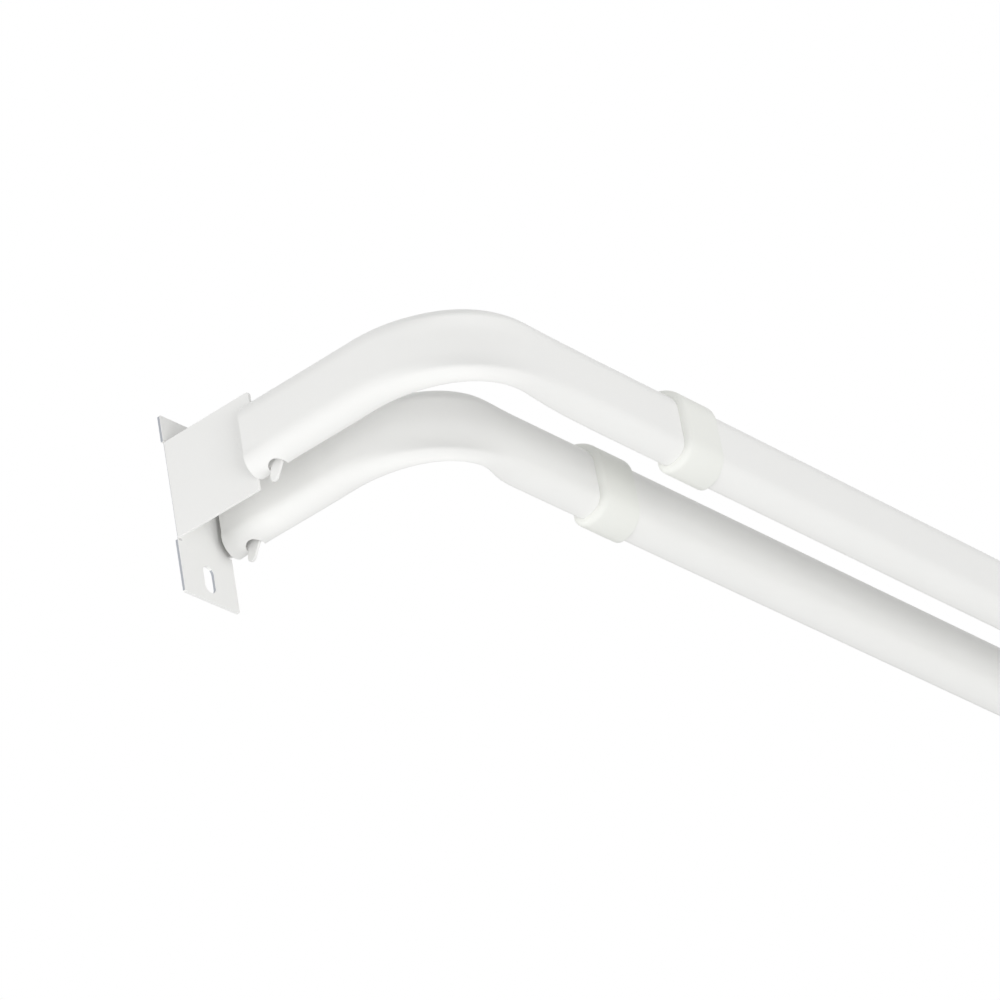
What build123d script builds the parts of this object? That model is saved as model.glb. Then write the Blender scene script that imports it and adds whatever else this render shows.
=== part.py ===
"""Double curtain rod: two telescoping sheet-steel rods hooked on a pair of folded wall brackets.

X runs along the rods, +Y into the wall, Z up. The origin is on the wall face, midway between the two
screw slots of the left bracket.
"""

from build123d import *
import os
from dataclasses import dataclass
from math import sqrt

# Rod section, over the larger half: a lipped channel, web to the room and lips to the wall
ROD_HEIGHT = 24.95
ROD_DEPTH = 8.85
ROD_CORNER = 7.0
ROD_HEEL = 1.2
ROD_LIP = 4.9
ROD_SHEET = 0.3

# Running gap between the two halves of a rod, and between a seated rod and its bracket
SLIDE_GAP = 0.2
SEAT_GAP = 0.3

# Course of the rods: each bend is measured on the outer face of the web
FRONT_BEND = 38.0
BACK_BEND = 36.5
RETURN_LENGTH = 81.5
BRACKET_SPACING = 712.0
CLOSING_STROKE = 35.0
END_MARGIN = 3.0

# Where the larger half of each rod begins, along X
FRONT_LAP = 85.8
BACK_LAP = 82.0

# Wall bracket, folded from one sheet
BRACKET_SHEET = 1.0
FOLD_INNER = 0.8
PLATE_WIDTH = 23.5
PLATE_HEIGHT = 60.5
PLATE_CORNER = 0.5
SLOT_WIDTH = 4.5
SLOT_LENGTH = 9.0
SLOT_INSET = 7.8
RELIEF_HEIGHT = 0.4
FRONT_RISE = 4.2
FRONT_REACH = 33.7
BACK_REACH = 3.2

# Free end of the bracket's arm: two ears outside the rod, one tongue inside it
EAR_HEIGHT = 4.1
UPPER_EAR = 1.9
LOWER_EAR = 0.3
UPPER_EAR_CORNER = 1.0
SLIT_DEPTH = 0.5
TONGUE_LENGTH = 18.0
TONGUE_CORNER = 3.0
TONGUE_SETBACK = 4.5

# Hook tooth under each tongue, leaning back to the wall, and the round notch that it drops through
HOOK_FROM_END = 7.6
HOOK_ROOT = 4.4
HOOK_TIP = 2.4
HOOK_LEAN = 2.2
HOOK_DROP = 4.5
HOOK_TIP_CORNER = 1.1
NOTCH_DIAMETER = 5.8
NOTCH_FROM_END = 7.5
NOTCH_SETBACK = 5.6
NOTCH_RISE = 3.2

# Plastic collar on the open end of each larger half, shorter on its web side by the slant
COLLAR_LENGTH = 19.4
COLLAR_SLANT = 3.0
COLLAR_WALL = 1.5
COLLAR_FIT = 0.15
COLLAR_LIP = 1.0
COLLAR_EDGE = 1.0

# Growth of a chamfer's leg when its faces all move out by one
CHAMFER_GROWTH = 2 - sqrt(2)


@dataclass(frozen=True)
class Channel:
    """Outside sizes of a lipped channel, drawn with its web on the local Y axis and its lips at +X.

    corner is the radius from web to flange, and heel the chamfer of the fold from flange to lip.
    """

    height: float
    depth: float
    corner: float
    heel: float
    lip: float

    def grown(self, margin):
        """The channel whose faces all lie a margin further out."""
        return Channel(
            self.height + 2 * margin,
            self.depth + 2 * margin,
            self.corner + margin,
            self.heel + margin * CHAMFER_GROWTH,
            self.lip + margin,
        )

    def outline(self, setback=0.0):
        """The filled outline, with the web moved in by a setback."""
        shape = Rectangle(self.depth, self.height, align=(Align.MIN, Align.CENTER))
        shape = fillet(shape.vertices().group_by(Axis.X)[0], self.corner)
        shape = chamfer(shape.vertices().group_by(Axis.X)[-1], self.heel)
        return Pos(setback, 0) * shape

    def mouth(self):
        """The opening between the lips, which runs out past the back of the channel."""
        opening = Rectangle(self.depth, self.height - 2 * self.lip, align=(Align.MIN, Align.CENTER))
        return Pos(self.depth / 2, 0) * opening

    def wall(self, sheet):
        """The section of the sheet itself."""
        return self.outline() - self.grown(-sheet).outline(sheet) - self.mouth()


LARGER = Channel(ROD_HEIGHT, ROD_DEPTH, ROD_CORNER, ROD_HEEL, ROD_LIP)
NESTING = ROD_SHEET + SLIDE_GAP
SMALLER = LARGER.grown(-NESTING)

# Faces of the left bracket and of the webs that it carries
PLATE_EDGE = PLATE_WIDTH / 2
WEB_TO_TONGUE = ROD_SHEET + TONGUE_SETBACK
FRONT_WEB = -PLATE_EDGE - WEB_TO_TONGUE
BACK_WEB = PLATE_EDGE - BRACKET_SHEET - WEB_TO_TONGUE
FOLD_OUTER = FOLD_INNER + BRACKET_SHEET
SLOT_SPACING = PLATE_HEIGHT - 2 * SLOT_INSET


def bent_rod(channel, web_x, reach, rise, bend, far_x, growth):
    """A rod half with its return at the left: from the bracket out, round the bend and along X to far_x.

    growth is how far the channel's faces lie outside those of the smaller half.
    """
    web = web_x - growth
    face = -(reach + RETURN_LENGTH + growth)
    start = (web, -reach, rise)
    bend_in = (web, face + bend, rise)
    bend_out = (web + bend, face, rise)
    course = Wire(
        [
            Edge.make_line(start, bend_in),
            Edge.make_tangent_arc(bend_in, (0, -1, 0), bend_out),
            Edge.make_line(bend_out, (far_x, face, rise)),
        ]
    )
    section_plane = Plane(start, x_dir=(1, 0, 0), z_dir=(0, -1, 0))
    rod = sweep(section_plane * channel.wall(ROD_SHEET), path=course)
    notch_center = (
        web + growth + NOTCH_SETBACK,
        -(reach + NOTCH_FROM_END),
        rise - channel.height / 2 - NOTCH_RISE,
    )
    notch = Cylinder(NOTCH_DIAMETER / 2, 2 * NOTCH_RISE, align=(Align.CENTER, Align.CENTER, Align.MIN))
    return rod - Pos(notch_center) * notch


def hook_tooth(reach, rise, channel):
    """Outline of the tooth under a tongue, from the tongue's middle down (Y across, Z up)."""
    top = rise - channel.height / 2 + ROD_SHEET + SEAT_GAP
    tip = rise - channel.height / 2 - HOOK_DROP
    root = -(reach + HOOK_FROM_END)
    toe = root + HOOK_LEAN
    corners = Polyline(
        (root + HOOK_ROOT / 2, rise),
        (root - HOOK_ROOT / 2, rise),
        (root - HOOK_ROOT / 2, top),
        (toe - HOOK_TIP / 2, tip),
        (toe + HOOK_TIP / 2, tip),
        (root + HOOK_ROOT / 2, top),
        close=True,
    )
    tooth = make_face(corners)
    return fillet(tooth.vertices().group_by(Axis.Y)[0], HOOK_TIP_CORNER)


def tongue(root_y, reach, rise, channel):
    """Outline of a tongue that fills the channel from root_y to its clipped end, with its tooth."""
    height = channel.height - 2 * (ROD_SHEET + SEAT_GAP)
    length = root_y + reach + TONGUE_LENGTH
    leaf = Pos(root_y, rise) * Rectangle(length, height, align=(Align.MAX, Align.CENTER))
    leaf = chamfer(leaf.vertices().group_by(Axis.X)[0], TONGUE_CORNER)
    return leaf + hook_tooth(reach, rise, channel)


def arm_limits(channel):
    """Lowest and highest Z of the arm that carries the front rod."""
    half = channel.height / 2 + SEAT_GAP + EAR_HEIGHT
    return FRONT_RISE - half, FRONT_RISE + half


def arm_outline(channel):
    """Outline of the arm: a tall leaf whose free end is slit for the flanges of the front rod."""
    low, high = arm_limits(channel)
    ear_root = channel.height / 2 + SEAT_GAP
    shoulder = -(FRONT_REACH - SLIT_DEPTH)
    leaf = Pos(-FOLD_OUTER, low) * Rectangle(
        -FOLD_OUTER - shoulder, high - low, align=(Align.MAX, Align.MIN)
    )
    upper = Pos(shoulder, FRONT_RISE + ear_root) * Rectangle(
        UPPER_EAR, EAR_HEIGHT, align=(Align.MAX, Align.MIN)
    )
    lower = Pos(shoulder, FRONT_RISE - ear_root) * Rectangle(
        LOWER_EAR, EAR_HEIGHT, align=(Align.MAX, Align.MAX)
    )
    upper_corner = upper.vertices().group_by(Axis.X)[0].sort_by(Axis.Y)[-1]
    upper = fillet(upper_corner, UPPER_EAR_CORNER)
    return leaf + upper + lower + tongue(-FOLD_OUTER, FRONT_REACH, FRONT_RISE, channel)


def folded_leaf(outline, edge_x, low, high):
    """A leaf bent towards the room at an edge of the plate: its fold from low to high, and its flat.

    The sheet lies on the inner side of edge_x.
    """
    inward = -1 if edge_x > 0 else 1
    fold_x = edge_x + inward * FOLD_OUTER
    ring = Circle(FOLD_OUTER) - Circle(FOLD_INNER)
    quarter = Rectangle(FOLD_OUTER, FOLD_OUTER, align=(Align.MAX, Align.MIN))
    if inward < 0:
        quarter = mirror(quarter, about=Plane.YZ)
    fold = Pos(fold_x, -FOLD_OUTER, low) * extrude(ring & quarter, high - low)
    flat = extrude(Plane.YZ.offset(edge_x) * outline, inward * BRACKET_SHEET)
    return fold + flat


def wall_bracket(channel):
    """The left bracket: plate, outer arm for the front rod and inner tongue for the back rod."""
    plate_sketch = Rectangle(PLATE_WIDTH, PLATE_HEIGHT)
    plate_sketch = chamfer(plate_sketch.vertices(), PLATE_CORNER)
    slot = SlotOverall(SLOT_LENGTH, SLOT_WIDTH, rotation=90)
    plate_sketch -= Pos(0, SLOT_SPACING / 2) * slot
    plate_sketch -= Pos(0, -SLOT_SPACING / 2) * slot

    arm_low, arm_high = arm_limits(channel)
    tongue_half = channel.height / 2 - ROD_SHEET - SEAT_GAP
    for edge, low, high in (
        (-PLATE_EDGE, arm_low, arm_high),
        (PLATE_EDGE, -tongue_half, tongue_half),
    ):
        middle = (low + high) / 2
        height = high - low + 2 * RELIEF_HEIGHT
        plate_sketch -= Pos(edge, middle) * Rectangle(2 * FOLD_OUTER, height)

    plate = extrude(Plane.XZ * plate_sketch, BRACKET_SHEET)
    for edge, low, high in (
        (-PLATE_EDGE, arm_low, arm_high),
        (PLATE_EDGE, -tongue_half, tongue_half),
    ):
        outline = arm_outline(channel) if edge < 0 else tongue(-FOLD_OUTER, BACK_REACH, 0.0, channel)
        plate += folded_leaf(outline, edge, low, high)
    return plate


def to_right(shape):
    """The mirror image of a left-hand piece about the middle of the two brackets."""
    return mirror(shape, about=Plane.YZ.offset(BRACKET_SPACING / 2))


def inner_half(web_x, reach, rise, bend):
    """A smaller half: it ends short of the far bend when the rod is closed."""
    far_bend = BRACKET_SPACING - web_x + NESTING - bend
    return bent_rod(SMALLER, web_x, reach, rise, bend, far_bend - CLOSING_STROKE - END_MARGIN, 0.0)


def outer_half(web_x, reach, rise, bend, lap_x):
    """A larger half, drawn at the left and turned over to the right bracket; it begins inside its collar."""
    far_x = BRACKET_SPACING - lap_x - COLLAR_SLANT - COLLAR_LIP - COLLAR_FIT
    return to_right(bent_rod(LARGER, web_x, reach, rise, bend, far_x, NESTING))


def collar(reach, rise, lap_x):
    """The plastic collar of a larger half: a snap-on channel with a lip over the cut edge of the sheet.

    Its free end is cut on a slant, further along the rod on the web side.
    """
    shell = LARGER.grown(COLLAR_FIT + COLLAR_WALL).outline(-(NESTING + COLLAR_FIT + COLLAR_WALL))
    bore = LARGER.grown(COLLAR_FIT).outline(-(NESTING + COLLAR_FIT))
    passage = SMALLER.grown(SLIDE_GAP).outline(-SLIDE_GAP)
    face = -(reach + RETURN_LENGTH)
    rim = Plane((lap_x, face, rise), x_dir=(0, 1, 0), z_dir=(1, 0, 0))
    sleeve = extrude(rim * shell, COLLAR_LENGTH)
    box = sleeve.bounding_box()
    slant = Plane((lap_x, box.max.Y, rise), x_dir=(0, 0, 1), z_dir=(box.size.Y, COLLAR_SLANT, 0))
    sleeve = split(sleeve, bisect_by=slant, keep=Keep.TOP)
    ends = sleeve.faces().sort_by(Axis.X)
    sleeve = chamfer(ends[0].edges() + ends[-1].edges(), COLLAR_EDGE)
    sleeve -= extrude(rim.offset(COLLAR_SLANT + COLLAR_LIP) * bore, COLLAR_LENGTH)
    sleeve -= extrude(rim * passage, COLLAR_LENGTH)
    return sleeve - extrude(rim * SMALLER.mouth(), COLLAR_LENGTH)


FRONT = {"reach": FRONT_REACH, "rise": FRONT_RISE}
BACK = {"reach": BACK_REACH, "rise": 0.0}

PIECES = {
    "left_bracket": wall_bracket(SMALLER),
    "right_bracket": to_right(wall_bracket(LARGER)),
    "front_rod_inner": inner_half(FRONT_WEB, bend=FRONT_BEND, **FRONT),
    "front_rod_outer": outer_half(FRONT_WEB, bend=FRONT_BEND, lap_x=FRONT_LAP, **FRONT),
    "back_rod_inner": inner_half(BACK_WEB, bend=BACK_BEND, **BACK),
    "back_rod_outer": outer_half(BACK_WEB, bend=BACK_BEND, lap_x=BACK_LAP, **BACK),
    "front_collar": collar(lap_x=FRONT_LAP, **FRONT),
    "back_collar": collar(lap_x=BACK_LAP, **BACK),
}

os.makedirs("parts", exist_ok=True)
for name, piece in PIECES.items():
    export_step(piece, f"parts/{name}.step")
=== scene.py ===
"""Looks of the double curtain rod: enamelled sheet-steel rods and brackets with moulded collars.

Lengths are in metres, in the frame of the packed part: X along the rods, +Y into the wall, Z up.
"""

import math

import bmesh
import bpy
from mathutils import Euler, Matrix, Vector


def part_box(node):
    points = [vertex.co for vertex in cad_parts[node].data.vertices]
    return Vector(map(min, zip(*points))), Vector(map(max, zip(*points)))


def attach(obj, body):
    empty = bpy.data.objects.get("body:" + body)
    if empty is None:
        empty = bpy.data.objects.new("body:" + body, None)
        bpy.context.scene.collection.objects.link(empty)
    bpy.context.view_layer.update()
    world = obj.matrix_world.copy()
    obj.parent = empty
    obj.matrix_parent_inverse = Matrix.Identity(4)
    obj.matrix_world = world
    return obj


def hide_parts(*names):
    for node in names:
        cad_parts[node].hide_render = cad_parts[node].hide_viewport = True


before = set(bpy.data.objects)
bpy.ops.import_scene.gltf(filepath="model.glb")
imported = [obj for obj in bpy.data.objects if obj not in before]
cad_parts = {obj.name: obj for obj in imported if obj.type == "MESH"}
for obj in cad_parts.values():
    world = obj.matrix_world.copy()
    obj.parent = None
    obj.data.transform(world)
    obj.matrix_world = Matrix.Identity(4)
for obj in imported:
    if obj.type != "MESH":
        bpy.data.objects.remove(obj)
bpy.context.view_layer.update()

bl_info = {
    "name": "Double curtain rod",
    "version": (1, 0, 0),
    "blender": (4, 5, 0),
    "location": "3D View > Sidebar > Curtain rod",
    "description": "Builds the enamelled rods, brackets and collars of a double curtain rod",
    "category": "Object",
}

MM = 0.001

# Nodes that give the height of the two channels, which is the same on both rods
LARGER_HALF = "front_rod_outer"
SMALLER_HALF = "front_rod_inner"

# Rod halves: node, the body that carries it, the way its run points along X, its rod, and its pinch's end
RODS = (
    ("front_rod_inner", "left_half", 1, "front", "front_pinch_end"),
    ("front_rod_outer", "right_half", -1, "front", "larger_pinch_end"),
    ("back_rod_inner", "left_half", 1, "back", "back_pinch_end"),
    ("back_rod_outer", "right_half", -1, "back", "larger_pinch_end"),
)
COLLARS = (
    ("front_collar", "front_rod_outer"),
    ("back_collar", "back_rod_outer"),
)
BRACKETS = (
    ("left_bracket", "left_half"),
    ("right_bracket", "right_half"),
)

# Steps of the rounded and pressed stretches
CORNER_STEPS = 12
HEEL_STEPS = 6
WEB_STEPS = 11
BEND_STEPS = 40
RETURN_STEPS = 8
RUN_STEPS = 16
PRESS_STEP = 3 * MM
END_STEPS = 5
NOTCH_STEPS = 48
RIM_STEPS = 6
ENAMEL_STEPS = 2

# Dish of a bend's web: how much of the corners it takes in, and how flat its floor is
DISH_SHARE = 0.5
DISH_POWER = 4

# How closely the sag of a rod's end keeps to the flange, away from mid height
SAG_POWER = 4

# Angles between faces: most in one plane, least at a cut edge, and least at a sharp fold of each piece
FLAT_ANGLE = math.radians(1)
CUT_ANGLE = math.radians(50)
ROD_FOLD = math.radians(40)
COLLAR_FOLD = math.radians(50)
BRACKET_FOLD = math.radians(60)

# Brackets: gap that is welded, rounding by the enamel, and depth and lean of the plates' side edges that
# are painted grey as shade
WELD_GAP = 0.001 * MM
ENAMEL_ROUND = 0.18 * MM
EDGE_DEPTH = 0.8 * MM
EDGE_LEAN = math.radians(45)

# Coatings: width of the cloudy patches, and width and height of the fine grain
ENAMEL_GRAIN = (18 * MM, 0.7 * MM, 0.04 * MM)
PLASTIC_GRAIN = (9 * MM, 0.35 * MM, 0.02 * MM)
EDGE_GRAIN = (4 * MM, 0.3 * MM, 0.04 * MM)

# Coatings: tones of the clouds, detail of clouds and grain, their part in the roughness, relief and IOR
CLOUD_TONES = (0.985, 1.01)
CLOUD_DETAIL = 3
GRAIN_DETAIL = 2
CLOUD_GLOSS = 0.06
GRAIN_GLOSS = 0.04
GRAIN_STRENGTH = 0.25
COATING_IOR = 1.48

# Floor: from its middle to its sides, the two tones of its paint, the width of their patches, and its gloss
FLOOR_REACH = 6.0
FLOOR_TONES = ((0.88, 0.88, 0.88), (0.9, 0.9, 0.9))
FLOOR_PATCH = 0.4
FLOOR_DETAIL = 2
FLOOR_ROUGHNESS = 0.9

# Soft lamps: name, turn about Z, and drop below the part or, under 0, rise above it, in degrees
LAMPS = (
    ("wall_lamp", 150, 26),
    ("left_lamp", 240, 26),
    ("room_lamp", 290, 20),
    ("top_lamp", 80, -72),
)

# The point at the left end of the rods that the lamps face
LIT_POINT = (0.1, -0.1, 0.0)

# Width of the camera's sensor, in millimetres as its lens
SENSOR_WIDTH = 36.0


class RodSizes(bpy.types.PropertyGroup):
    """Section and bend of the rods."""

    depth: bpy.props.FloatProperty(
        name="Depth", description="Web to lips, larger half", default=8.85 * MM, unit="LENGTH"
    )
    corner: bpy.props.FloatProperty(
        name="Corner", description="Radius from web to flange, larger half", default=7.0 * MM, unit="LENGTH"
    )
    heel: bpy.props.FloatProperty(
        name="Heel", description="Radius from flange to lip, larger half", default=2.05 * MM, unit="LENGTH"
    )
    lip: bpy.props.FloatProperty(
        name="Lip", description="Height of a lip, larger half", default=4.9 * MM, unit="LENGTH"
    )
    sheet: bpy.props.FloatProperty(
        name="Sheet", description="Thickness of the steel", default=0.3 * MM, unit="LENGTH"
    )
    front_bend: bpy.props.FloatProperty(
        name="Front bend", description="Radius of the front rod's bends on the web",
        default=38.0 * MM, unit="LENGTH"
    )
    back_bend: bpy.props.FloatProperty(
        name="Back bend", description="Radius of the back rod's bends on the web",
        default=36.5 * MM, unit="LENGTH"
    )
    front_pinch: bpy.props.FloatProperty(
        name="Front pinch", description="Share of the depth that the front bends lose",
        default=0.42, subtype="FACTOR"
    )
    back_pinch: bpy.props.FloatProperty(
        name="Back pinch", description="Share of the depth that the back bends lose",
        default=0.6, subtype="FACTOR"
    )
    pinch_place: bpy.props.FloatProperty(
        name="Pinch place", description="Tightest place, as a share of the bend",
        default=0.68, subtype="FACTOR"
    )
    pinch_reach: bpy.props.FloatProperty(
        name="Pinch reach", description="Spread of the pinch, as a share of the bend",
        default=0.4, subtype="FACTOR"
    )
    pinch_fade: bpy.props.FloatProperty(
        name="Pinch fade", description="Length in which the pinch fades out on the run",
        default=20.0 * MM, unit="LENGTH"
    )
    front_pinch_end: bpy.props.FloatProperty(
        name="Front pinch end", description="End of the pinch past the front smaller half's bend",
        default=45.0 * MM, unit="LENGTH"
    )
    back_pinch_end: bpy.props.FloatProperty(
        name="Back pinch end", description="End of the pinch past the back smaller half's bend",
        default=9.0 * MM, unit="LENGTH"
    )
    larger_pinch_end: bpy.props.FloatProperty(
        name="Larger pinch end", description="End of the pinch past a larger half's bend",
        default=2.0 * MM, unit="LENGTH"
    )
    dish: bpy.props.FloatProperty(
        name="Dish", description="How far a bend's web is drawn in", default=1.4 * MM, unit="LENGTH"
    )
    end_sag: bpy.props.FloatProperty(
        name="End sag", description="How far the lower flange opens at the rod's end",
        default=0.6 * MM, unit="LENGTH"
    )
    end_square: bpy.props.FloatProperty(
        name="End corner", description="How far the lower corner is filled at the rod's end",
        default=1.0 * MM, unit="LENGTH"
    )
    notch: bpy.props.FloatProperty(
        name="Notch", description="Diameter of the notch for the hook", default=5.8 * MM, unit="LENGTH"
    )
    notch_from_end: bpy.props.FloatProperty(
        name="Notch from end", description="Notch centre from the rod's end",
        default=7.5 * MM, unit="LENGTH"
    )
    notch_setback: bpy.props.FloatProperty(
        name="Notch setback", description="Notch centre behind the smaller web",
        default=5.6 * MM, unit="LENGTH"
    )
    notch_rise: bpy.props.FloatProperty(
        name="Notch rise", description="Reach of the notch above the rod's bottom",
        default=3.2 * MM, unit="LENGTH"
    )


class CollarSizes(bpy.types.PropertyGroup):
    """Form of the moulded collars."""

    length: bpy.props.FloatProperty(
        name="Length", description="Length on the side of the lips", default=19.4 * MM, unit="LENGTH"
    )
    slant: bpy.props.FloatProperty(
        name="Slant", description="How much shorter the web side is", default=3.0 * MM, unit="LENGTH"
    )
    wall: bpy.props.FloatProperty(
        name="Wall", description="Thickness over the rod", default=1.5 * MM, unit="LENGTH"
    )
    lip: bpy.props.FloatProperty(
        name="Lip", description="Length of the lip over the cut edge", default=1.0 * MM, unit="LENGTH"
    )
    lip_gap: bpy.props.FloatProperty(
        name="Lip gap", description="Room between the lip and the smaller half",
        default=0.03 * MM, unit="LENGTH"
    )
    rim_round: bpy.props.FloatProperty(
        name="Rim rounding", description="Radius of the rim at the lip", default=1.7 * MM, unit="LENGTH"
    )
    end_round: bpy.props.FloatProperty(
        name="End rounding", description="Radius of the end away from the lip",
        default=1.3 * MM, unit="LENGTH"
    )


class Finishes(bpy.types.PropertyGroup):
    """Colours and gloss of the enamel and the plastic."""

    enamel: bpy.props.FloatVectorProperty(
        name="Enamel", description="White of the rods and brackets", default=(0.86, 0.86, 0.845),
        size=3, subtype="COLOR", min=0, max=1
    )
    plastic: bpy.props.FloatVectorProperty(
        name="Plastic", description="Off-white of the collars", default=(0.84, 0.848, 0.81),
        size=3, subtype="COLOR", min=0, max=1
    )
    # Grey painted on the plate's side-facing cut edges as their shade
    bare_edge: bpy.props.FloatVectorProperty(
        name="Painted edge shade", description="Grey of the brackets' punched edges", default=(0.42, 0.44, 0.48),
        size=3, subtype="COLOR", min=0, max=1
    )
    enamel_roughness: bpy.props.FloatProperty(
        name="Enamel roughness", description="Satin gloss of the enamel", default=0.6, subtype="FACTOR"
    )
    plastic_roughness: bpy.props.FloatProperty(
        name="Plastic roughness", description="Gloss of the moulded plastic", default=0.62, subtype="FACTOR"
    )


class StageSettings(bpy.types.PropertyGroup):
    """Camera, lamps and floor."""

    camera_place: bpy.props.FloatVectorProperty(
        name="Camera place", description="Where the camera stands", default=(-1.0961, -0.8832, -0.8266),
        size=3, subtype="TRANSLATION", unit="LENGTH"
    )
    camera_turn: bpy.props.FloatVectorProperty(
        name="Camera turn", description="Rotation of the camera", default=(2.10272, 0.15779, -0.86316),
        size=3, subtype="EULER", unit="ROTATION"
    )
    lens: bpy.props.FloatProperty(
        name="Lens", description="Focal length in millimetres", default=199.57, unit="CAMERA"
    )
    ambient: bpy.props.FloatProperty(
        name="Ambient", description="Light from all round", default=0.57, min=0
    )
    lamp_powers: bpy.props.FloatVectorProperty(
        name="Lamps", description="Power of the wall, left, room and top lamps",
        default=(10.1, 8.4, 5.4, 4.0), size=4, min=0, unit="POWER"
    )
    lamp_width: bpy.props.FloatProperty(
        name="Lamp width", description="Side of each soft lamp", default=0.8, unit="LENGTH"
    )
    lamp_distance: bpy.props.FloatProperty(
        name="Lamp distance", description="From each lamp to the left end of the rods",
        default=1.7, unit="LENGTH"
    )
    floor_drop: bpy.props.FloatProperty(
        name="Floor", description="Height of the part over the floor", default=1.5, unit="LENGTH"
    )
    floor_glow: bpy.props.FloatProperty(
        name="Floor glow", description="Share of white in the floor as it is seen",
        default=0.5, subtype="FACTOR"
    )


class Value:
    """A socket that takes part in Python expressions as a number does."""

    def __init__(self, shader, socket):
        self.shader = shader
        self.socket = socket

    def _math(self, operation, first, second):
        return self.shader.node("ShaderNodeMath", {"operation": operation}, {0: first, 1: second})

    def __add__(self, other):
        return self._math("ADD", self, other)

    def __radd__(self, other):
        return self._math("ADD", other, self)

    def __mul__(self, other):
        return self._math("MULTIPLY", self, other)

    def __rmul__(self, other):
        return self._math("MULTIPLY", other, self)


class Shader:
    """A node tree that is written as expressions."""

    def __init__(self, tree):
        self.tree = tree
        tree.nodes.clear()

    def node(self, kind, settings=None, sockets=None, output=0):
        """Add a node: its settings first, then the values or links of its sockets."""
        node = self.tree.nodes.new(kind)
        for key, setting in (settings or {}).items():
            setattr(node, key, setting)
        for key, value in (sockets or {}).items():
            if isinstance(value, Value):
                self.tree.links.new(value.socket, node.inputs[key])
            else:
                node.inputs[key].default_value = value
        return Value(self, node.outputs[output]) if node.outputs else node


def new_material(name):
    """An empty node material and its shader."""
    material = bpy.data.materials.new(name)
    material.use_nodes = True
    return material, Shader(material.node_tree)


def noise(shader, size, detail):
    """Noise from 0 to 1 on the piece, whose patches are about a given size across."""
    place = shader.node("ShaderNodeTexCoord", output="Object")
    return shader.node("ShaderNodeTexNoise", sockets={"Vector": place, "Scale": 1 / size, "Detail": detail})


def tinted(shader, mask, first, second):
    """Colour that goes from the first to the second with a mask."""
    # The Mix node's colours are its sockets 6 and 7, and its mixed colour is output 2
    return shader.node(
        "ShaderNodeMix", {"data_type": "RGBA"}, {"Factor": mask, 6: (*first, 1), 7: (*second, 1)}, output=2
    )


def scaled(colour, share):
    """A colour made darker or lighter by a share."""
    return tuple(min(1.0, channel * share) for channel in colour)


def coated(name, colour, roughness, patch, grain, grain_height):
    """A smooth coating: faint cloudy colour, uneven gloss and a fine orange-peel surface."""
    found = bpy.data.materials.get(name)
    if found:
        return found
    material, shader = new_material(name)
    cloud = noise(shader, patch, CLOUD_DETAIL)
    fine = noise(shader, grain, GRAIN_DETAIL)
    dark, light = (scaled(colour, tone) for tone in CLOUD_TONES)
    smoothest = roughness - (CLOUD_GLOSS + GRAIN_GLOSS) / 2
    peel = shader.node(
        "ShaderNodeBump", sockets={"Strength": GRAIN_STRENGTH, "Distance": grain_height, "Height": fine}
    )
    surface = shader.node("ShaderNodeBsdfPrincipled", sockets={
        "Base Color": tinted(shader, cloud, dark, light),
        "Roughness": smoothest + CLOUD_GLOSS * cloud + GRAIN_GLOSS * fine,
        "IOR": COATING_IOR,
        "Normal": peel,
    })
    shader.node("ShaderNodeOutputMaterial", sockets={"Surface": surface})
    return material


def enamel_finish():
    """Satin white enamel on steel."""
    looks = bpy.context.scene.curtain_finishes
    return coated("satin_enamel", looks.enamel, looks.enamel_roughness, *ENAMEL_GRAIN)


def plastic_finish():
    """Smooth off-white moulded plastic."""
    looks = bpy.context.scene.curtain_finishes
    return coated("moulded_plastic", looks.plastic, looks.plastic_roughness, *PLASTIC_GRAIN)


def painted_edge_shade_finish():
    """Bare grey steel on the punched edges of pre-coated sheet."""
    looks = bpy.context.scene.curtain_finishes
    return coated("bare_edge", looks.bare_edge, looks.enamel_roughness, *EDGE_GRAIN)


def linked(bm, name):
    """Turn a bmesh into an object of the scene."""
    mesh = bpy.data.meshes.new(name)
    bm.to_mesh(mesh)
    bm.free()
    made = bpy.data.objects.new(name, mesh)
    bpy.context.scene.collection.objects.link(made)
    return made


def finished_piece(bm, name, materials, fold):
    """Turn a bmesh into a piece with smooth faces and sharp folds past an angle."""
    piece = linked(bm, name)
    piece.data.shade_smooth()
    piece.data.set_sharp_from_angle(angle=fold)
    for material in materials:
        piece.data.materials.append(material)
    return piece


def seat(piece, node, body):
    """Let a piece stand for its CAD node and move with its body."""
    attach(piece, body)
    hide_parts(node)


def round_off(bm, parts, radius, steps, affect):
    """Round edges or corners off by a radius."""
    bmesh.ops.bevel(
        bm, geom=parts, offset=radius, offset_type="OFFSET", affect=affect,
        segments=steps, profile=0.5, material=-1, clamp_overlap=affect == "EDGES"
    )


def height(node):
    """Height of a node over its faces."""
    low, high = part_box(node)
    return high.z - low.z


def inset(node):
    """How far the faces of a rod half lie inside those of the larger half."""
    return (height(LARGER_HALF) - height(node)) / 2


def larger_section(margin):
    """The larger half's channel with its faces moved out by a margin."""
    sizes = bpy.context.scene.curtain_rods
    return {
        "height": height(LARGER_HALF) + 2 * margin,
        "depth": sizes.depth + 2 * margin,
        "corner": sizes.corner + margin,
        "heel": sizes.heel + margin,
        "lip": sizes.lip + margin,
    }


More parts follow.
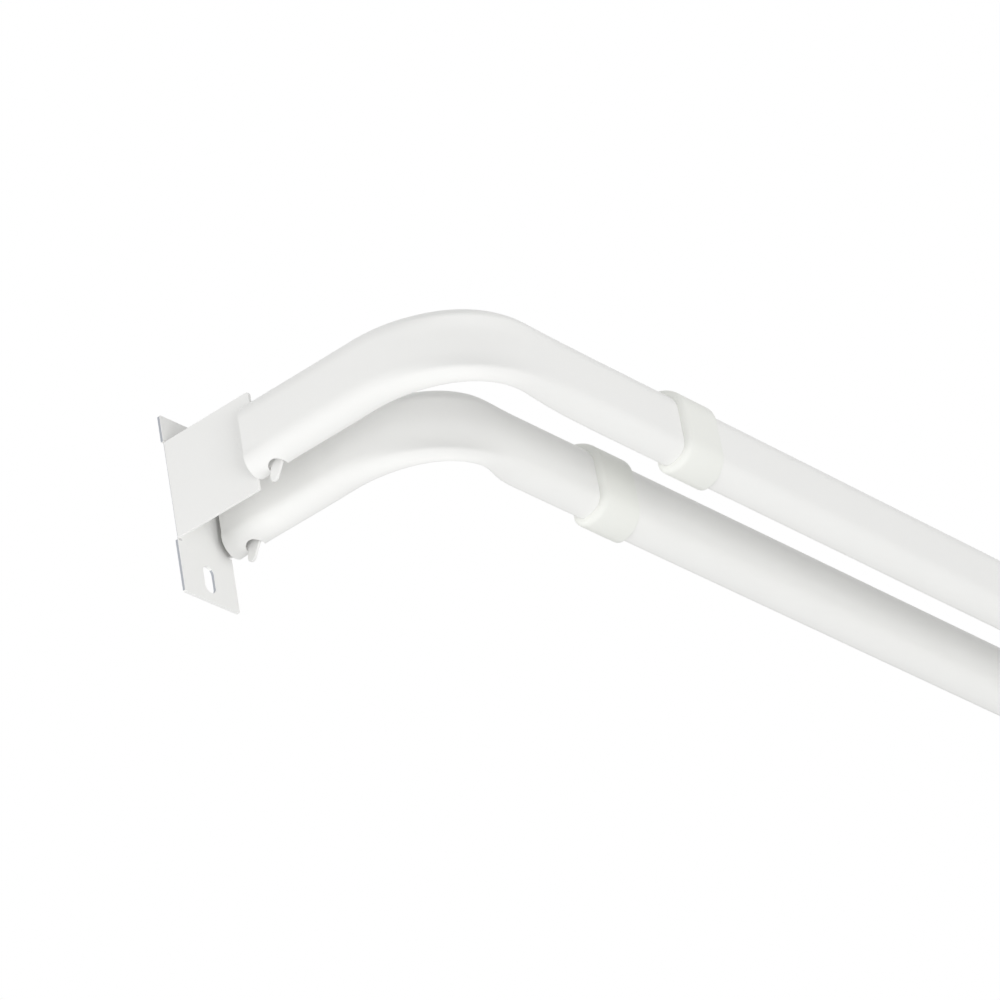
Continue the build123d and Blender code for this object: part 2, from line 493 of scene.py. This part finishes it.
def channel_line(bm, section, start, across):
    """Open line of a lipped channel's outer face, in the plane of across and Z, with rounded corners."""
    half = section["height"] / 2
    depth = section["depth"]
    lip = section["lip"]
    corners = [
        (depth, lip - half),
        (depth, -half),
        (0.0, -half),
        (0.0, half),
        (depth, half),
        (depth, half - lip),
    ]
    others = set(bm.edges)
    points = [bm.verts.new(start + across * u + Vector((0, 0, v))) for u, v in corners]
    for pair in zip(points, points[1:]):
        bm.edges.new(pair)
    round_off(bm, points[2:4], section["corner"], CORNER_STEPS, "VERTICES")
    round_off(bm, [points[1], points[4]], section["heel"], HEEL_STEPS, "VERTICES")
    web = max((edge for edge in bm.edges if edge not in others), key=lambda edge: edge.calc_length())
    bmesh.ops.subdivide_edges(bm, edges=[web], cuts=WEB_STEPS)
    return [edge for edge in bm.edges if edge not in others]


def drawn_out(bm, line, step):
    """Extrude a line of edges by a step, and give the new line."""
    made = bmesh.ops.extrude_edge_only(bm, edges=line)["geom"]
    moved = [part for part in made if isinstance(part, bmesh.types.BMVert)]
    bmesh.ops.translate(bm, verts=moved, vec=step)
    ends = set(moved)
    return [part for part in made if isinstance(part, bmesh.types.BMEdge) and set(part.verts) <= ends]


def end_reach():
    """Length of a return's end, with the notch in its middle."""
    return 2 * bpy.context.scene.curtain_rods.notch_from_end


def bent_sheet(section, bend, return_length, run_length):
    """Outer face of a rod half about its own corner: the return along Y, the bend, the run along X."""
    bm = bmesh.new()
    line = channel_line(bm, section, Vector((0, return_length, 0)), Vector((1, 0, 0)))
    plain = return_length - bend - end_reach() - RETURN_STEPS * PRESS_STEP
    for step in [end_reach() / END_STEPS] * END_STEPS + [plain] + [PRESS_STEP] * RETURN_STEPS:
        line = drawn_out(bm, line, Vector((0, -step, 0)))
    turned = bmesh.ops.spin(
        bm, geom=line, cent=(bend, bend, 0), axis=(0, 0, 1), angle=math.pi / 2, steps=BEND_STEPS,
        use_merge=False, use_duplicate=False
    )["geom_last"]
    line = [part for part in turned if isinstance(part, bmesh.types.BMEdge)]
    plain = run_length - bend - RUN_STEPS * PRESS_STEP
    for step in [PRESS_STEP] * RUN_STEPS + [plain]:
        line = drawn_out(bm, line, Vector((step, 0, 0)))
    return bm


def on_course(point, bend):
    """A point's way along the rod past the start of the bend, its depth behind the web, and the way in."""
    if point.y >= bend:
        return bend - point.y, point.x, Vector((1, 0, 0))
    if point.x >= bend:
        return bend * math.pi / 2 + point.x - bend, point.y, Vector((0, 1, 0))
    spoke = Vector((point.x - bend, point.y - bend, 0))
    return bend * math.atan2(-spoke.y, -spoke.x), bend - spoke.length, -spoke.normalized()


def smooth_step(share):
    """Soft change from 0 to 1 as a share goes from 0 to 1."""
    share = min(1.0, max(0.0, share))
    return share * share * (3 - 2 * share)


def press_bend(bm, section, bend, pinch, pinch_end):
    """Squeeze the flanges and draw the web in where the bend has pressed the channel."""
    sizes = bpy.context.scene.curtain_rods
    bend_length = bend * math.pi / 2
    web_half = section["height"] / 2 - section["corner"] * (1 - DISH_SHARE)
    for vert in bm.verts:
        along, depth, inward = on_course(vert.co, bend)
        squeeze = math.exp(-(((along / bend_length - sizes.pinch_place) / sizes.pinch_reach) ** 2))
        squeeze *= smooth_step((bend_length + pinch_end - along) / sizes.pinch_fade)
        dish = sizes.dish * max(0.0, 1 - abs(vert.co.z / web_half) ** DISH_POWER)
        dish *= 1 - depth / section["depth"]
        vert.co += inward * squeeze * (dish - pinch * depth)


def open_end(bm, section, return_length):
    """Let the lower flange sag and square its corner towards the cut end of the return."""
    sizes = bpy.context.scene.curtain_rods
    half = section["height"] / 2
    corner = section["corner"]
    for vert in bm.verts:
        share = 1 - (return_length - vert.co.y) / end_reach()
        if share <= 0 or vert.co.z >= 0:
            continue
        ease = share ** 2
        spoke = Vector((vert.co.x - corner, 0, vert.co.z + half - corner))
        if spoke.x < 0 and spoke.z < 0:
            spoke.normalize()
            diagonal = (abs(spoke.x) + abs(spoke.z) - 1) / (math.sqrt(2) - 1)
            vert.co += spoke * diagonal * ease * sizes.end_square
        vert.co.z -= ease * sizes.end_sag * (vert.co.z / half) ** SAG_POWER


def face_outwards(bm):
    """Turn a sheet's faces so that its web faces the room."""
    bmesh.ops.recalc_face_normals(bm, faces=bm.faces)
    web = min(bm.faces, key=lambda face: face.calc_center_median().y)
    if web.normal.y > 0:
        bmesh.ops.reverse_faces(bm, faces=bm.faces)


def cut_notch(piece, centre):
    """Cut the round notch for the hook out of the lower flange."""
    sizes = bpy.context.scene.curtain_rods
    bm = bmesh.new()
    bmesh.ops.create_cone(
        bm, cap_ends=True, segments=NOTCH_STEPS, radius1=sizes.notch / 2, radius2=sizes.notch / 2,
        depth=2 * sizes.notch_rise, matrix=Matrix.Translation(centre)
    )
    punch = linked(bm, "notch_punch")
    cut = piece.modifiers.new("notch", "BOOLEAN")
    cut.operation = "DIFFERENCE"
    cut.solver = "EXACT"
    cut.object = punch
    graph = bpy.context.evaluated_depsgraph_get()
    spent = (punch.data, piece.data)
    piece.data = bpy.data.meshes.new_from_object(piece.evaluated_get(graph))
    piece.modifiers.clear()
    bpy.data.objects.remove(punch)
    for mesh in spent:
        bpy.data.meshes.remove(mesh)


def rod_half(node, body, way, rod, pinch_end):
    """One rod half, bent, pinched, notched and enamelled."""
    sizes = bpy.context.scene.curtain_rods
    low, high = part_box(node)
    section = larger_section(-inset(node))
    bend = getattr(sizes, f"{rod}_bend")
    return_length = high.y - low.y
    web = low.x if way > 0 else high.x
    bm = bent_sheet(section, bend, return_length, high.x - low.x)
    press_bend(bm, section, bend, getattr(sizes, f"{rod}_pinch"), getattr(sizes, pinch_end))
    open_end(bm, section, return_length)
    place = Matrix.Translation((web, low.y, (low.z + high.z) / 2)) @ Matrix.Diagonal((way, 1, 1, 1))
    bmesh.ops.transform(bm, matrix=place, verts=bm.verts)
    face_outwards(bm)
    bmesh.ops.solidify(bm, geom=bm.faces, thickness=sizes.sheet)
    piece = finished_piece(bm, f"{node}_sheet", [enamel_finish()], ROD_FOLD)
    setback = sizes.notch_setback + inset(SMALLER_HALF) - inset(node)
    cut_notch(piece, Vector((web + way * setback, high.y - sizes.notch_from_end, low.z)))
    seat(piece, node, body)


def collar_piece(node, rod):
    """One moulded collar: a sleeve of the channel's form with a slanted, lipped end and rounded rims."""
    sizes = bpy.context.scene.curtain_collars
    low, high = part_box(node)
    rod_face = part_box(rod)[0].y
    outside = (height(node) - height(rod)) / 2
    bore = outside - sizes.wall
    passage = sizes.lip_gap - inset(SMALLER_HALF)
    shoulder = sizes.slant + sizes.lip
    tail = Vector((high.x - sizes.length, high.y, 0))
    shear = Matrix.Identity(4)
    shear[0][1] = -sizes.slant / (high.y - low.y)
    slanting = Matrix.Translation(tail) @ shear @ Matrix.Translation(-tail)
    bm = bmesh.new()
    rings = []
    for along, margin in (
        (0.0, outside),
        (sizes.length, outside),
        (sizes.length, bore),
        (shoulder, bore),
        (shoulder, passage),
        (0.0, passage),
    ):
        start = Vector((tail.x + along, rod_face - margin, (low.z + high.z) / 2))
        rings.append(channel_line(bm, larger_section(margin), start, Vector((0, 1, 0))))
    for ring in (rings[0], rings[-1]):
        points = list({vert for edge in ring for vert in edge.verts})
        bmesh.ops.transform(bm, matrix=slanting, verts=points)
    for first, second in zip(rings, rings[1:] + rings[:1]):
        bmesh.ops.bridge_loops(bm, edges=first + second)
    bmesh.ops.holes_fill(bm, edges=[edge for edge in bm.edges if edge.is_boundary], sides=len(rings))
    bmesh.ops.recalc_face_normals(bm, faces=bm.faces)
    round_off(bm, rings[0], sizes.rim_round, RIM_STEPS, "EDGES")
    round_off(bm, rings[1], sizes.end_round, RIM_STEPS, "EDGES")
    piece = finished_piece(bm, f"{node}_moulding", [plastic_finish()], COLLAR_FOLD)
    seat(piece, node, "right_half")


def bracket_piece(node, body):
    """One folded bracket: the CAD sheet with its cut edges softened by the enamel."""
    bm = bmesh.new()
    bm.from_mesh(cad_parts[node].data)
    bmesh.ops.remove_doubles(bm, verts=bm.verts, dist=WELD_GAP)
    bmesh.ops.dissolve_limit(
        bm, angle_limit=FLAT_ANGLE, use_dissolve_boundaries=False, verts=bm.verts, edges=bm.edges
    )
    shared = [edge for edge in bm.edges if len(edge.link_faces) == 2]
    cut = [edge for edge in shared if edge.calc_face_angle() > CUT_ANGLE]
    round_off(bm, cut, ENAMEL_ROUND, ENAMEL_STEPS, "EDGES")
    # The plate's cut edges that face the sides take the grey of painted shade
    for face in bm.faces:
        in_plate = face.calc_center_median().y > -EDGE_DEPTH
        face.material_index = int(in_plate and abs(face.normal.x) > math.cos(EDGE_LEAN))
    piece = finished_piece(bm, f"{node}_sheet", [enamel_finish(), painted_edge_shade_finish()], BRACKET_FOLD)
    weighted = piece.modifiers.new("flat faces", "WEIGHTED_NORMAL")
    weighted.keep_sharp = True
    seat(piece, node, body)


def in_sight(shader):
    """1 for what the camera sees directly, in a reflection or through a material, and 0 for light."""
    camera, glossy, through = (
        shader.node("ShaderNodeLightPath", output=ray)
        for ray in ("Is Camera Ray", "Is Glossy Ray", "Is Transmission Ray")
    )
    return shader.node("ShaderNodeMath", {"operation": "MINIMUM"}, {0: camera + glossy + through, 1: 1.0})


def set_world(ambient):
    """Soft light from all round, over a background that the camera and reflections see as white."""
    world = bpy.data.worlds.new("studio")
    world.use_nodes = True
    shader = Shader(world.node_tree)
    strength = ambient + (1 - ambient) * in_sight(shader)
    light = shader.node("ShaderNodeBackground", sockets={"Color": (1, 1, 1, 1), "Strength": strength})
    shader.node("ShaderNodeOutputWorld", sockets={"Surface": light})
    bpy.context.scene.world = world


def floor_finish(glow):
    """Pale paint that looks whiter than it lights, by a share of glow, and keeps shadows."""
    material, shader = new_material("floor_paint")
    tone = tinted(shader, noise(shader, FLOOR_PATCH, FLOOR_DETAIL), *FLOOR_TONES)
    paint = shader.node(
        "ShaderNodeBsdfPrincipled", sockets={"Base Color": tone, "Roughness": FLOOR_ROUGHNESS}
    )
    white = shader.node("ShaderNodeEmission", sockets={"Color": (1, 1, 1, 1), "Strength": 1.0})
    seen = glow * in_sight(shader)
    surface = shader.node("ShaderNodeMixShader", sockets={"Fac": seen, 1: paint, 2: white})
    shader.node("ShaderNodeOutputMaterial", sockets={"Surface": surface})
    return material


def add_floor(drop, glow):
    """A plain pale floor under the part."""
    bm = bmesh.new()
    place = Matrix.Translation((0, 0, -drop))
    bmesh.ops.create_grid(bm, x_segments=1, y_segments=1, size=FLOOR_REACH, matrix=place)
    floor = linked(bm, "floor")
    floor.data.materials.append(floor_finish(glow))


def add_lamp(name, turn, drop, power):
    """A square soft lamp that faces the left end of the rods and isn't seen itself."""
    stage = bpy.context.scene.curtain_stage
    light = bpy.data.lights.new(name, "AREA")
    light.shape = "SQUARE"
    light.size = stage.lamp_width
    light.energy = power
    lamp = bpy.data.objects.new(name, light)
    outward = Euler((0, drop, turn)).to_matrix() @ Vector((1, 0, 0))
    lamp.location = Vector(LIT_POINT) + outward * stage.lamp_distance
    lamp.rotation_euler = outward.to_track_quat("Z", "Y").to_euler()
    lamp.visible_camera = False
    bpy.context.scene.collection.objects.link(lamp)


def add_camera(place, turn, focal_length):
    """The camera at the photograph's viewing angle."""
    lens = bpy.data.cameras.new("photo_camera")
    lens.lens = focal_length
    lens.sensor_width = SENSOR_WIDTH
    camera = bpy.data.objects.new("photo_camera", lens)
    camera.location = place
    camera.rotation_euler = Euler(turn)
    bpy.context.scene.collection.objects.link(camera)
    bpy.context.scene.camera = camera


class CURTAINROD_OT_brackets(bpy.types.Operator):
    """Make the two folded wall brackets"""

    bl_idname = "curtain_rod.brackets"
    bl_label = "Wall brackets"

    def execute(self, context):
        for bracket in BRACKETS:
            bracket_piece(*bracket)
        return {"FINISHED"}


class CURTAINROD_OT_rods(bpy.types.Operator):
    """Make the four rod halves"""

    bl_idname = "curtain_rod.rods"
    bl_label = "Rod halves"

    def execute(self, context):
        for half in RODS:
            rod_half(*half)
        return {"FINISHED"}


class CURTAINROD_OT_collars(bpy.types.Operator):
    """Make the two moulded collars"""

    bl_idname = "curtain_rod.collars"
    bl_label = "Collars"

    def execute(self, context):
        for collar in COLLARS:
            collar_piece(*collar)
        return {"FINISHED"}


class CURTAINROD_OT_stage(bpy.types.Operator):
    """Set up the floor, the soft light and the camera"""

    bl_idname = "curtain_rod.stage"
    bl_label = "Stage"

    def execute(self, context):
        stage = context.scene.curtain_stage
        context.scene.view_settings.view_transform = "Standard"
        set_world(stage.ambient)
        add_floor(stage.floor_drop, stage.floor_glow)
        for (name, turn, drop), power in zip(LAMPS, stage.lamp_powers):
            add_lamp(name, math.radians(turn), math.radians(drop), power)
        add_camera(stage.camera_place, stage.camera_turn, stage.lens)
        return {"FINISHED"}


class CURTAINROD_PT_panel(bpy.types.Panel):
    """Sidebar panel with the pieces of the curtain rod"""

    bl_label = "Double curtain rod"
    bl_idname = "CURTAINROD_PT_panel"
    bl_space_type = "VIEW_3D"
    bl_region_type = "UI"
    bl_category = "Curtain rod"

    def draw(self, context):
        for operator in OPERATORS:
            self.layout.operator(operator.bl_idname)
        for name, group in SETTINGS.items():
            column = self.layout.column(heading=group.__doc__)
            for prop in group.__annotations__:
                column.prop(getattr(context.scene, name), prop)


OPERATORS = (
    CURTAINROD_OT_brackets,
    CURTAINROD_OT_rods,
    CURTAINROD_OT_collars,
    CURTAINROD_OT_stage,
)
SETTINGS = {
    "curtain_rods": RodSizes,
    "curtain_collars": CollarSizes,
    "curtain_finishes": Finishes,
    "curtain_stage": StageSettings,
}


def register():
    """Register the classes and hang the settings on the scene."""
    for group in (*SETTINGS.values(), *OPERATORS, CURTAINROD_PT_panel):
        bpy.utils.register_class(group)
    for name, group in SETTINGS.items():
        setattr(bpy.types.Scene, name, bpy.props.PointerProperty(type=group))


def unregister():
    """Take the settings and the classes away again."""
    for name in SETTINGS:
        delattr(bpy.types.Scene, name)
    for group in (CURTAINROD_PT_panel, *OPERATORS, *SETTINGS.values()):
        bpy.utils.unregister_class(group)


def main():
    """Build the part and its stage, and write the two boxes."""
    register()
    bpy.ops.curtain_rod.brackets()
    bpy.ops.curtain_rod.rods()
    bpy.ops.curtain_rod.collars()
    bpy.ops.curtain_rod.stage()


if __name__ == "__main__":
    main()
